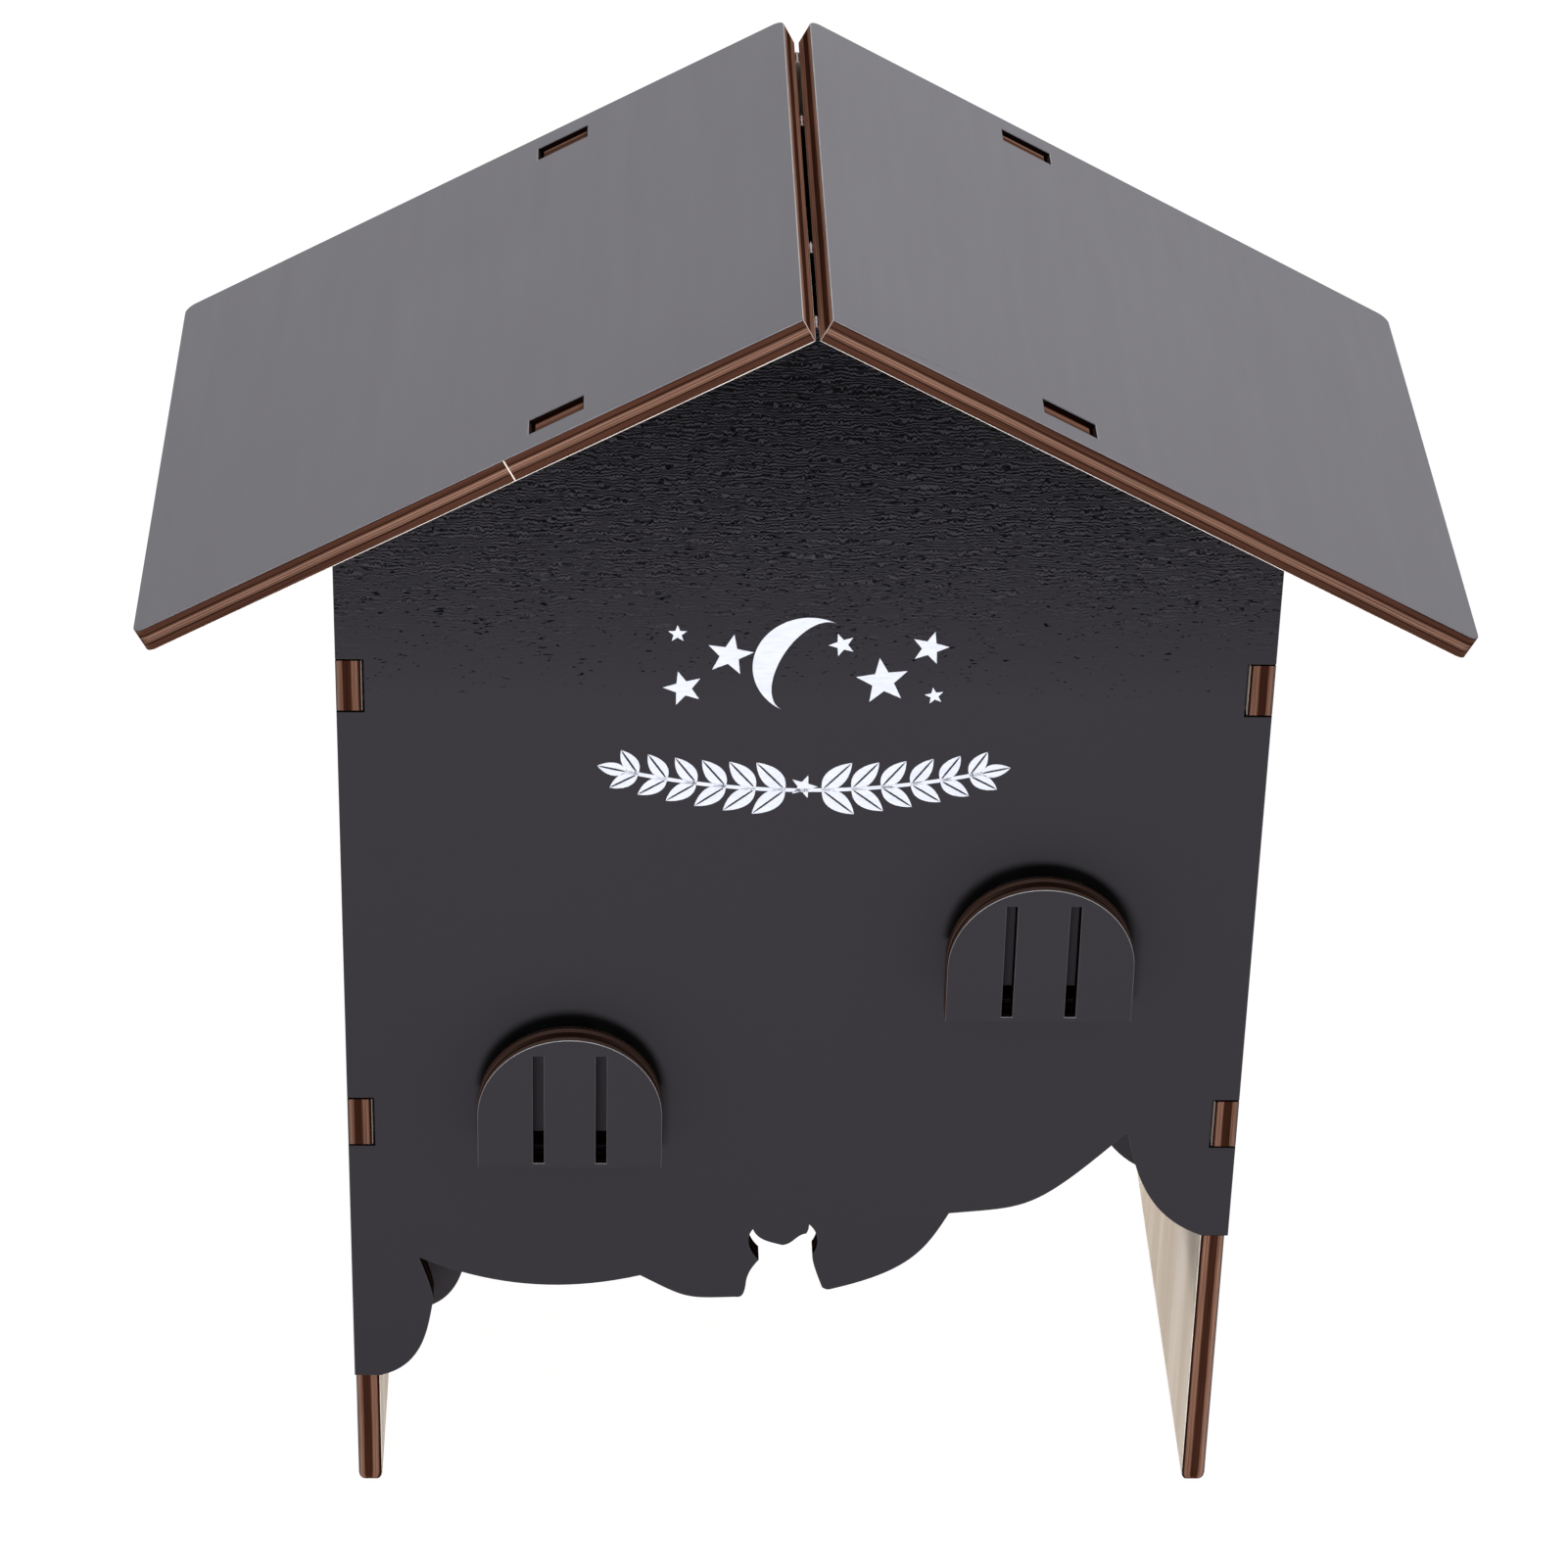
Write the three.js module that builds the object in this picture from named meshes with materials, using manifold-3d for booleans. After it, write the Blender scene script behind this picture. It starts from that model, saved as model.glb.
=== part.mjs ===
// Bat box: a slot-together plywood house with three roost chambers under a two-board roof.
// Millimetres, +Z up, front towards -Y, origin on the ground under the middle of the whole box.
import * as THREE from 'three';
import { mergeVertices } from 'three/addons/utils/BufferGeometryUtils.js';
import Module from 'manifold-3d';

const wasm = await Module();
wasm.setup();

// Driving dimensions
const plyThickness = 5;
const bodyWidth = 180;
const bodyDepth = 126;
const ridgeHeight = 276.6; // lower ridge edges of the two roof boards
const roofPitch = THREE.MathUtils.degToRad(28.2);
const ridgeSlit = 0.7;
const roofBoardLength = 141.7;
const roofOverhang = 5.9; // past the front and back panels
const roofCornerRadius = 2.5;
const legCornerRadius = 2;
const outerChamberDepth = 26.5; // front and back roost chambers

// Joints cut into the sheets
const fitGap = 0.3; // clearance all round a tab and under the roof boards
const sideTabLength = 11;
const lowerTabHeight = 97.4; // middle of the lower side tabs above the ground
const upperTabDrop = 28.7; // middle of the upper side tabs below the side panels' top
const roofTabLength = 10.3;
const roofTabDistance = 51; // middle of the roof tabs, down the slope from the ridge
const roofSlotSlack = 0.6; // extra slot length on the tab's lower side
const roofTabRecess = 1; // tab ends lie this far under the roof's top face

// Cut-out at the bottom of the cross panels
const leftFootHeight = 32.7; // bottom of each foot above the ground
const rightFootHeight = 69.2;
const footWidth = 5.4;
const cutoutTopHeight = 95.1;
const partitionFootWidth = 8.2;
const partitionDrop = 6.5; // the partitions hang this much lower

// Arched window plates
const windowWidth = 36.8;
const windowHeight = 30.9;
const windowStandOff = 5;
const windowSlotWidth = 2.2;
const windowSlotHeight = 25.9;
const windowSlotSpacing = 12.5;
const windowSillHeight = 1.1; // plate left below the slots
const leftWindowPlace = { across: -45.2, height: 93.4 };
const rightWindowPlace = { across: 47.2, height: 129.2 };
const spacerWidth = 7; // of its upright, between the two slots
const spacerHeight = 23;
const spacerFootInset = 4; // the foot ends this far inside the plate's sides
const spacerFootRise = 0.9; // the foot's top above the bottom of the slots

const curveSteps = 20;
const cutOverrun = 1; // how far a cutter passes each face of a sheet

const halfWidth = bodyWidth / 2;
const halfDepth = bodyDepth / 2;
const innerHalfWidth = halfWidth - plyThickness;
const innerHalfDepth = halfDepth - plyThickness;
const halfTab = sideTabLength / 2;
const halfRoofTab = roofTabLength / 2;
const partitionPlace = innerHalfDepth - outerChamberDepth - plyThickness / 2; // middle of its sheet

// A place on a roof board: distance down the slope and lift along the board's normal.
function slopePoint(side, distance, lift) {
  const across = ridgeSlit / 2 + distance * Math.cos(roofPitch) + lift * Math.sin(roofPitch);
  const height = ridgeHeight - distance * Math.sin(roofPitch) + lift * Math.cos(roofPitch);
  return new THREE.Vector2(side * across, height);
}

// Height of the panels' sloping top edge, a fit gap under the roof boards.
function gableHeight(across) {
  const drop = (Math.abs(across) - ridgeSlit / 2) * Math.tan(roofPitch);
  return ridgeHeight - drop - fitGap / Math.cos(roofPitch);
}
const tabHeights = [lowerTabHeight, gableHeight(halfWidth) - upperTabDrop];

// Flying-bat cut-out, left foot to right foot. Each row holds two curve controls and an end as
// shares of the cut-out's width and of its top height. The last row's end is the right foot.
const cutoutShares = [
  [-0.45, 0.368, -0.442, 0.459, -0.435, 0.538],
  [-0.431, 0.56, -0.439, 0.601, -0.45, 0.665],
  [-0.366, 0.591, -0.281, 0.569, -0.182, 0.618],
  [-0.126, 0.557, -0.128, 0.555, -0.067, 0.56],
  [-0.059, 0.559, -0.055, 0.558, -0.053, 0.598],
  [-0.052, 0.623, -0.045, 0.644, -0.038, 0.66],
  [-0.05, 0.683, -0.056, 0.716, -0.046, 0.742],
  [-0.04, 0.712, -0.024, 0.708, -0.01, 0.7],
  [0.004, 0.703, 0.007, 0.729, 0.019, 0.731],
  [0.021, 0.738, 0.022, 0.745, 0.022, 0.755],
  [0.034, 0.735, 0.036, 0.701, 0.027, 0.675],
  [0.026, 0.659, 0.033, 0.622, 0.04, 0.586],
  [0.044, 0.581, 0.047, 0.579, 0.05, 0.581],
  [0.146, 0.63, 0.164, 0.686, 0.191, 0.786],
  [0.287, 0.805, 0.291, 0.788, 0.4, 1],
  [0.415, 0.895, 0.429, 0.777],
];

function addCutout(shape, panel) {
  const outerFoot = panel.halfWidth - panel.footWidth;
  const width = 2 * outerFoot;
  const place = (across, height) => [across * width, height * cutoutTopHeight - panel.drop];
  shape.lineTo(-outerFoot, leftFootHeight - panel.drop);
  cutoutShares.forEach(([firstX, firstZ, secondX, secondZ, endX, endZ]) => {
    const first = place(firstX, firstZ);
    const second = place(secondX, secondZ);
    const end = endX === undefined ? [outerFoot, rightFootHeight - panel.drop] : place(endX, endZ);
    shape.bezierCurveTo(...first, ...second, ...end);
  });
}

// Steps an upright edge out or in at each tab, going up or down the list of heights.
function addEdgeSteps(shape, heights, edge, stepped, halfStep, direction) {
  for (const height of heights) {
    shape.lineTo(edge, height - direction * halfStep);
    shape.lineTo(stepped, height - direction * halfStep);
    shape.lineTo(stepped, height + direction * halfStep);
    shape.lineTo(edge, height + direction * halfStep);
  }
}

function addRoofTab(shape, side, distances) {
  const tabLift = plyThickness - roofTabRecess;
  const [from, to] = distances;
  for (const [distance, lift] of [[from, -fitGap], [from, tabLift], [to, tabLift], [to, -fitGap]]) {
    const point = slopePoint(side, distance, lift);
    shape.lineTo(point.x, point.y);
  }
}

// Outline of a panel that runs across the house, seen from the front.
function crossPanelShape(panel) {
  const shape = new THREE.Shape();
  const edge = panel.halfWidth;
  shape.moveTo(-edge, leftFootHeight - panel.drop);
  addCutout(shape, panel);
  shape.lineTo(edge, rightFootHeight - panel.drop);
  addEdgeSteps(shape, tabHeights, edge, panel.stepEdge, panel.halfStep, 1);
  shape.lineTo(edge, gableHeight(edge));
  const nearRidge = roofTabDistance - halfRoofTab;
  const nearEave = roofTabDistance + halfRoofTab;
  if (panel.roofTabs) addRoofTab(shape, 1, [nearEave, nearRidge]);
  shape.lineTo(0, gableHeight(0));
  if (panel.roofTabs) addRoofTab(shape, -1, [nearRidge, nearEave]);
  shape.lineTo(-edge, gableHeight(edge));
  addEdgeSteps(shape, [...tabHeights].reverse(), -edge, -panel.stepEdge, panel.halfStep, -1);
  return shape;
}

function solidFrom(geometry) {
  geometry.deleteAttribute('normal');
  geometry.deleteAttribute('uv');
  const merged = mergeVertices(geometry);
  const vertProperties = new Float32Array(merged.attributes.position.array);
  const triVerts = new Uint32Array(merged.index.array);
  return new wasm.Manifold(new wasm.Mesh({ numProp: 3, vertProperties, triVerts }));
}

function geometryFrom(solid) {
  const mesh = solid.getMesh();
  const positions = new Float32Array(mesh.vertProperties);
  const geometry = new THREE.BufferGeometry();
  geometry.setAttribute('position', new THREE.BufferAttribute(positions, mesh.numProp));
  geometry.setIndex(new THREE.BufferAttribute(new Uint32Array(mesh.triVerts), 1));
  return geometry;
}

// A flat sheet with rectangular slots cut through it. Each slot is { left, right, bottom, top }.
function sheet(shape, thickness, slots = []) {
  const options = { depth: thickness, bevelEnabled: false, curveSegments: curveSteps };
  let solid = solidFrom(new THREE.ExtrudeGeometry(shape, options));
  for (const slot of slots) {
    const width = slot.right - slot.left;
    const height = slot.top - slot.bottom;
    const cutter = new THREE.BoxGeometry(width, height, thickness + 2 * cutOverrun);
    cutter.translate(slot.left + width / 2, slot.bottom + height / 2, thickness / 2);
    solid = solid.subtract(solidFrom(cutter));
  }
  return geometryFrom(solid);
}

// Stands a sheet up across the house: shape x stays across, shape y becomes height.
function acrossSheet(shape, thickness, slots) {
  const basis = new THREE.Matrix4().makeBasis(
    new THREE.Vector3(1, 0, 0),
    new THREE.Vector3(0, 0, 1),
    new THREE.Vector3(0, -1, 0),
  );
  return sheet(shape, thickness, slots).applyMatrix4(basis);
}

// Stands a sheet up along the house: shape x becomes depth, shape y becomes height.
function alongSheet(shape, thickness, slots) {
  const basis = new THREE.Matrix4().makeBasis(
    new THREE.Vector3(0, 1, 0),
    new THREE.Vector3(0, 0, 1),
    new THREE.Vector3(1, 0, 0),
  );
  return sheet(shape, thickness, slots).applyMatrix4(basis);
}

function paint(color, roughness) {
  return new THREE.MeshStandardMaterial({ color, roughness, metalness: 0 });
}

// The windows reach further forward than the roof reaches back, so the house stands a little back
// to have the origin under the middle of the whole box.
const batBox = new THREE.Group();
const house = new THREE.Group();
house.position.y = (windowStandOff + plyThickness - roofOverhang) / 2;
batBox.add(house);

function addPiece(name, geometry, material, parent = house) {
  const mesh = new THREE.Mesh(geometry, material);
  mesh.name = name;
  parent.add(mesh);
  return mesh;
}

// Front and back panels: notched edges take the side panels' tabs.
const outerPanel = {
  halfWidth,
  stepEdge: innerHalfWidth - fitGap,
  halfStep: halfTab + fitGap,
  footWidth,
  drop: 0,
  roofTabs: true,
};
for (const [name, backFace] of [['front_panel', -innerHalfDepth], ['back_panel', halfDepth]]) {
  const geometry = acrossSheet(crossPanelShape(outerPanel), plyThickness);
  const panel = addPiece(name, geometry, paint('#3b393e', 0.6));
  panel.position.y = backFace;
}

// Partitions: their own tabs pass through slots in the side panels.
const innerPanel = {
  halfWidth: innerHalfWidth,
  stepEdge: halfWidth,
  halfStep: halfTab,
  footWidth: partitionFootWidth,
  drop: partitionDrop,
  roofTabs: false,
};
for (const [name, middle] of [['front_partition', -partitionPlace], ['back_partition', partitionPlace]]) {
  const geometry = acrossSheet(crossPanelShape(innerPanel), plyThickness);
  const partition = addPiece(name, geometry, paint('#353338', 0.7));
  partition.position.y = middle + plyThickness / 2;
}

// Side panels: between the front and back panels, with tabs that reach their outer faces.
function sidePanelShape() {
  const shape = new THREE.Shape();
  const edge = innerHalfDepth;
  const radius = legCornerRadius;
  shape.absarc(-edge + radius, radius, radius, Math.PI, Math.PI * 3 / 2, false);
  shape.absarc(edge - radius, radius, radius, -Math.PI / 2, 0, false);
  addEdgeSteps(shape, tabHeights, edge, halfDepth, halfTab, 1);
  shape.lineTo(edge, gableHeight(halfWidth));
  shape.lineTo(-edge, gableHeight(halfWidth));
  addEdgeSteps(shape, [...tabHeights].reverse(), -edge, -halfDepth, halfTab, -1);
  return shape;
}
const halfSlotDepth = plyThickness / 2 + fitGap;
const halfSlotHeight = halfTab + fitGap;
const partitionSlots = [-partitionPlace, partitionPlace].flatMap((middle) => tabHeights.map((height) => ({
  left: middle - halfSlotDepth,
  right: middle + halfSlotDepth,
  bottom: height - halfSlotHeight,
  top: height + halfSlotHeight,
})));
for (const [name, leftFace] of [['left_side_panel', -halfWidth], ['right_side_panel', innerHalfWidth]]) {
  const geometry = alongSheet(sidePanelShape(), plyThickness, partitionSlots);
  const panel = addPiece(name, geometry, paint('#3b393e', 0.6));
  panel.position.x = leftFace;
}

// Roof boards: rounded at three corners and sharp at the front of the ridge. The left one is the
// right one's mirror image, because its front lies at the other end once it is turned round.
function roofBoardShape(frontEnd) {
  const halfBoard = halfDepth + roofOverhang;
  const radius = roofCornerRadius;
  const shape = new THREE.Shape();
  shape.absarc(roofBoardLength - radius, -halfBoard + radius, radius, -Math.PI / 2, 0, false);
  shape.absarc(roofBoardLength - radius, halfBoard - radius, radius, 0, Math.PI / 2, false);
  if (frontEnd > 0) shape.lineTo(0, halfBoard);
  else shape.absarc(radius, halfBoard - radius, radius, Math.PI / 2, Math.PI, false);
  if (frontEnd < 0) shape.lineTo(0, -halfBoard);
  else shape.absarc(radius, -halfBoard + radius, radius, Math.PI, Math.PI * 3 / 2, false);
  return shape;
}
const panelMiddle = halfDepth - plyThickness / 2;
const roofSlots = [-panelMiddle, panelMiddle].map((middle) => ({
  left: roofTabDistance - halfRoofTab - fitGap,
  right: roofTabDistance + halfRoofTab + fitGap + roofSlotSlack,
  bottom: middle - halfSlotDepth,
  top: middle + halfSlotDepth,
}));
for (const [name, turn, frontEnd] of [['right_roof_panel', 0, -1], ['left_roof_panel', Math.PI, 1]]) {
  const roofSide = new THREE.Group();
  roofSide.rotation.z = turn;
  house.add(roofSide);
  const geometry = sheet(roofBoardShape(frontEnd), plyThickness, roofSlots);
  const board = addPiece(name, geometry, paint('#3b393e', 0.55), roofSide);
  board.position.set(ridgeSlit / 2, 0, ridgeHeight);
  board.rotation.y = roofPitch;
}

// Window plates: round-topped, with two upright slots, held off the front panel by a spacer
// that stands on a long foot, like a T turned over.
function windowShape() {
  const half = windowWidth / 2;
  const shape = new THREE.Shape();
  shape.moveTo(-half, 0);
  shape.lineTo(half, 0);
  shape.absarc(0, windowHeight - half, half, 0, Math.PI, false);
  return shape;
}
const windowSlots = [-windowSlotSpacing / 2, windowSlotSpacing / 2].map((middle) => ({
  left: middle - windowSlotWidth / 2,
  right: middle + windowSlotWidth / 2,
  bottom: windowSillHeight,
  top: windowSillHeight + windowSlotHeight,
}));

function spacerShape() {
  const half = spacerWidth / 2;
  const footHalf = windowWidth / 2 - spacerFootInset;
  const footTop = windowSillHeight + spacerFootRise;
  const shape = new THREE.Shape();
  shape.moveTo(-footHalf, 0);
  shape.lineTo(footHalf, 0);
  shape.lineTo(footHalf, footTop);
  shape.lineTo(half, footTop);
  shape.lineTo(half, spacerHeight);
  shape.lineTo(-half, spacerHeight);
  shape.lineTo(-half, footTop);
  shape.lineTo(-footHalf, footTop);
  return shape;
}

for (const [side, place] of [['left', leftWindowPlace], ['right', rightWindowPlace]]) {
  const plateGeometry = acrossSheet(windowShape(), plyThickness, windowSlots);
  const plate = addPiece(`${side}_window_plate`, plateGeometry, paint('#3b393e', 0.6));
  plate.position.set(place.across, -halfDepth - windowStandOff, place.height);
  const spacerGeometry = acrossSheet(spacerShape(), windowStandOff);
  const spacer = addPiece(`${side}_window_spacer`, spacerGeometry, paint('#3b393e', 0.7));
  spacer.position.set(place.across, -halfDepth, place.height);
}

export default batBox;
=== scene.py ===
# Bat box of laser-cut three-ply: charcoal paint outside, bare wood inside, burnt brown cut edges
from math import pi, radians, sqrt

import bmesh
import bpy
from mathutils import Matrix, Vector


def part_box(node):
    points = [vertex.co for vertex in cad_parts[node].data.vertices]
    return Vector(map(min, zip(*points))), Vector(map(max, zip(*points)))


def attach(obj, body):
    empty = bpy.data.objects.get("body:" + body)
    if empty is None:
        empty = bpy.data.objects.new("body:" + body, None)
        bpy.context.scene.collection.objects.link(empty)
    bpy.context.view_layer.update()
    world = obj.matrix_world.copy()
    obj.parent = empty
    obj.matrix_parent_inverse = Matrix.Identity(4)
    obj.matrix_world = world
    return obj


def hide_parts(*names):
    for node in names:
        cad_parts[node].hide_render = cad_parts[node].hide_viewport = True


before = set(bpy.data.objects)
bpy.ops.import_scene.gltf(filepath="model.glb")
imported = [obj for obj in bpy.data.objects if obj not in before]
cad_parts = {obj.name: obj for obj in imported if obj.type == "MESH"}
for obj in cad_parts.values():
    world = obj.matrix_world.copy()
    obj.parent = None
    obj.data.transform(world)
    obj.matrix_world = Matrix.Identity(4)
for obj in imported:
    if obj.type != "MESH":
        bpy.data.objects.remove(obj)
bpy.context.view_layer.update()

mm = 0.001
print("frame loaded:", len(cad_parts), "sheets")

# Camera

cameraSetup = {
    "place": (-37.8 * mm, -897.7 * mm, 694.2 * mm),
    "pitch": radians(-31.654),  # below the horizon
    "yaw": radians(2.326),  # to the right
    "roll": radians(1.505),
    "lens": 116.54,
    "sensor": 36.0,
}


def addCamera(setup):
    data = bpy.data.cameras.new("camera")
    data.lens = setup["lens"]
    data.sensor_width = setup["sensor"]
    camera = bpy.data.objects.new("camera", data)
    yaw = Matrix.Rotation(-setup["yaw"], 4, "Z")
    pitch = Matrix.Rotation(pi / 2 + setup["pitch"], 4, "X")
    roll = Matrix.Rotation(setup["roll"], 4, "Z")
    camera.matrix_world = Matrix.Translation(setup["place"]) @ yaw @ pitch @ roll
    bpy.context.collection.objects.link(camera)
    bpy.context.scene.camera = camera


addCamera(cameraSetup)
bpy.context.scene.view_settings.view_transform = "Standard"
print("camera set")

# Node helpers


def srgb(red, green, blue):
    def linear(value):
        share = value / 255
        return share / 12.92 if share <= 0.04045 else ((share + 0.055) / 1.055) ** 2.4
    return (linear(red), linear(green), linear(blue), 1.0)


def newMaterial(name, roughness=0.6, specular=0.1):
    material = bpy.data.materials.new(name)
    material.use_nodes = True
    shader = material.node_tree.nodes["Principled BSDF"]
    shader.inputs["Roughness"].default_value = roughness
    shader.inputs["Specular IOR Level"].default_value = specular
    return material, material.node_tree, shader


def plug(tree, socket, value):
    if isinstance(value, bpy.types.NodeSocket):
        tree.links.new(value, socket)
    else:
        socket.default_value = value


def addNode(tree, kind, inputs=None, **settings):
    node = tree.nodes.new(kind)
    for key, value in settings.items():
        setattr(node, key, value)
    for key, value in (inputs or {}).items():
        plug(tree, node.inputs[key], value)
    return node


def mixColours(tree, share, first, second, blend="MIX"):
    node = addNode(tree, "ShaderNodeMix", data_type="RGBA", blend_type=blend)
    for socket, value in zip([s for s in node.inputs if s.enabled], (share, first, second)):
        plug(tree, socket, value)
    return next(s for s in node.outputs if s.enabled)


def calc(tree, operation, first, second=0.0, clamp=False):
    node = addNode(tree, "ShaderNodeMath", {0: first, 1: second}, operation=operation, use_clamp=clamp)
    return node.outputs[0]


def plus(tree, first, second):
    return calc(tree, "ADD", first, second)


def minus(tree, first, second):
    return calc(tree, "SUBTRACT", first, second)


def times(tree, *values):
    total = values[0]
    for value in values[1:]:
        total = calc(tree, "MULTIPLY", total, value)
    return total


# How far a value lies from a middle one, on either side
def awayFrom(tree, value, middle):
    return calc(tree, "ABSOLUTE", minus(tree, value, middle))


def remap(tree, value, low, high, toLow=0.0, toHigh=1.0, smooth=False):
    inputs = {"Value": value, "From Min": low, "From Max": high, "To Min": toLow, "To Max": toHigh}
    kind = "SMOOTHSTEP" if smooth else "LINEAR"
    node = addNode(tree, "ShaderNodeMapRange", inputs, interpolation_type=kind, clamp=True)
    return node.outputs["Result"]


def objectPlace(tree, scale=(1, 1, 1), shift=(0, 0, 0)):
    place = addNode(tree, "ShaderNodeTexCoord").outputs["Object"]
    inputs = {"Vector": place, "Scale": scale, "Location": shift}
    return addNode(tree, "ShaderNodeMapping", inputs).outputs[0]


# The place stretched along the grain, with a scale along it and one across it
def grainPlace(tree, grainAxis, along, across, shift=(0, 0, 0)):
    scale = [across] * 3
    scale[grainAxis] = along
    return objectPlace(tree, scale, shift)


def coordinate(tree, vector, axis):
    return addNode(tree, "ShaderNodeSeparateXYZ", {0: vector}).outputs[axis]


# Nearly all values of a noise lie in this span
noiseSpan = (0.3, 0.7)


def noise(tree, vector, scale=1.0, detail=2.0, roughness=0.5):
    inputs = {"Vector": vector, "Scale": scale, "Detail": detail, "Roughness": roughness}
    return addNode(tree, "ShaderNodeTexNoise", inputs).outputs["Fac"]


def attribute(tree, name):
    return addNode(tree, "ShaderNodeAttribute", attribute_name=name).outputs["Fac"]


def addBump(tree, shader, height, distance, strength=1.0):
    inputs = {"Height": height, "Distance": distance, "Strength": strength}
    tree.links.new(addNode(tree, "ShaderNodeBump", inputs).outputs[0], shader.inputs["Normal"])


# Paint on the panels: smooth and even below, cracked towards the ridge, and darker there: partly the cracked
# paint and partly painted shade under the roof

panelPaint = {
    "colour": srgb(54, 52, 56),
    # the dark top colour is partly cracked paint and partly painted shade under the roof
    "topColour": srgb(16, 16, 20),
    "evenUpTo": 197 * mm,
    "darkestAt": 262 * mm,
    "patchScale": 55,
    "patchLift": 0.18,  # how far the patches move the start of the cracks
    "mottleScale": 14,
    "mottle": srgb(249, 249, 250),
    "roughness": (0.65, 0.72),
    "specular": 0.03,
    "peelScale": 1400,
    "peelHeight": 0.06,  # the heights are shares of the relief
    "crestHeight": 0.3,
    "crackDepth": 0.7,
    "relief": 0.12 * mm,
}
# Near-black paint that stands in for shade: painted shade on the spacers seen through the window slots, on
# the notches' rims and above the arches
shadowBlackPaint = {**panelPaint, "colour": srgb(7, 6, 6), "topColour": srgb(7, 6, 6)}
# Sizes are along the grain and across it. Widths are shares of the gap between two cracks, given
# where a line fades out and where it is at its strongest. A shift keeps two patterns apart.
paintCracks = {
    "colour": srgb(3, 3, 4),
    # the crest colour is a painted highlight on the crests beside the cracks
    "crestHighlight": srgb(136, 133, 143),
    "gap": 0.74 * mm,
    "width": (0.24, 0.08),
    "strength": (0.7, 1.0),
    "strengthOver": (0.0, 0.5),  # the roughness at which a strength begins and ends
    "crestFrom": 0.4,
    "crestWidth": (0.12, 0.02),
    "crestStrength": (0.18, 0.12),
    "crestOver": (0.3, 0.9),
    "runs": {"size": (1.9 * mm, 0.6 * mm), "shift": (4.6, 3.3, 2.1),
             "range": (0.42, 0.6), "rise": 0.12},
    "clusters": {"size": (7.0 * mm, 2.2 * mm), "shift": (7.3, 2.9, 4.1),
                 "range": (0.38, 0.72), "rise": 0.5},
    "fullFrom": 0.62,  # share of the way up to the darkest paint
    "bends": {"size": (5.0 * mm, 1.9 * mm), "shift": (2.2, 0.4, 5.3), "reach": 2.2 * mm},
    "wobbles": {"size": (0.5 * mm, 2.2 * mm), "shift": (1.7, 6.4, 8.3), "reach": 1.0 * mm},
}
paintDashes = {
    "size": (1.5 * mm, 0.42 * mm),
    "shift": (3.1, 5.7, 1.3),
    "limits": (0.22, 0.33),  # of the noise, where the rough part begins and inside it
    "limitsOver": (-0.1, 0.35),
    "softness": 0.02,
    "fullFrom": 0.03,
}


def grainNoise(tree, grainAxis, pattern):
    along, across = pattern["size"]
    return noise(tree, grainPlace(tree, grainAxis, 1 / along, 1 / across, pattern["shift"]), detail=1)


# A grained pattern in soft patches, which fill more of the paint where it is rougher
def grainPatches(tree, grainAxis, rough, pattern):
    level = plus(tree, grainNoise(tree, grainAxis, pattern), times(tree, rough, pattern["rise"]))
    return remap(tree, level, *pattern["range"])


# Crinkled cracks that join up towards the ridge, with crests between them that carry a painted highlight and
# are raised in the relief
def addCracks(tree, grainAxis, rise, rough, setup):
    cover = grainPatches(tree, grainAxis, rough, setup["clusters"])
    cover = times(tree, cover, remap(tree, rise, 0.0, setup["fullFrom"], smooth=True))
    shown = times(tree, grainPatches(tree, grainAxis, rough, setup["runs"]), cover)
    across = coordinate(tree, objectPlace(tree), "Z" if grainAxis == 0 else "Y")
    for pattern in (setup["bends"], setup["wobbles"]):
        across = plus(tree, across, times(tree, grainNoise(tree, grainAxis, pattern), pattern["reach"]))
    phase = calc(tree, "FRACT", times(tree, across, 1 / setup["gap"]))
    off = awayFrom(tree, phase, 0.5)
    crack = times(tree, remap(tree, off, *setup["width"]), shown,
                  remap(tree, rough, *setup["strengthOver"], *setup["strength"]))
    beside = awayFrom(tree, off, setup["crestFrom"])
    crestHighlight = times(tree, remap(tree, beside, *setup["crestWidth"]), shown,
                  remap(tree, rough, *setup["crestOver"], *setup["crestStrength"]))
    return crack, crestHighlight


# Sparse dark dashes where the rough part begins
def addDashes(tree, grainAxis, rise, rough, setup):
    limit = remap(tree, rough, *setup["limitsOver"], *setup["limits"])
    dash = remap(tree, minus(tree, limit, grainNoise(tree, grainAxis, setup)), 0.0, setup["softness"])
    return times(tree, dash, remap(tree, rise, 0.0, setup["fullFrom"]))


# Painted shadow on the panel behind the window plates' arches: a dark ring just inside each arch, standing in
# for the shade between plate and panel

windowPaintedShadow = {
    "plates": ("left_window_plate", "right_window_plate"),
    "width": 6.0 * mm,
    "innerFade": 0.5 * mm,  # on either side of the ring's inner edge
    "outerFade": (0.8 * mm, 1.2 * mm),  # inside and outside its outer edge
    "sillFade": 1.0 * mm,
    "share": 0.8,
}


def addArchShade(tree, colour, shade):
    for plate in shade["plates"]:
        low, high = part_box(plate)
        outer = (high.x - low.x) / 2
        inner = outer - shade["width"]
        place = objectPlace(tree, (1, 0, 1), (-(low.x + high.x) / 2, 0, outer - high.z))
        distance = addNode(tree, "ShaderNodeVectorMath", {0: place}, operation="LENGTH").outputs["Value"]
        fromInner = remap(tree, distance, inner - shade["innerFade"], inner + shade["innerFade"])
        fadeStart, fadeEnd = shade["outerFade"]
        toOuter = remap(tree, distance, outer - fadeStart, outer + fadeEnd, 1.0, 0.0, smooth=True)
        upper = remap(tree, coordinate(tree, place, "Z"), 0.0, shade["sillFade"])
        share = times(tree, fromInner, toOuter, upper, shade["share"])
        # painted shadow: the ring darkens the panel's own colour
        colour = mixColours(tree, share, colour, shadowBlackPaint["colour"])
    return colour


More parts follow.
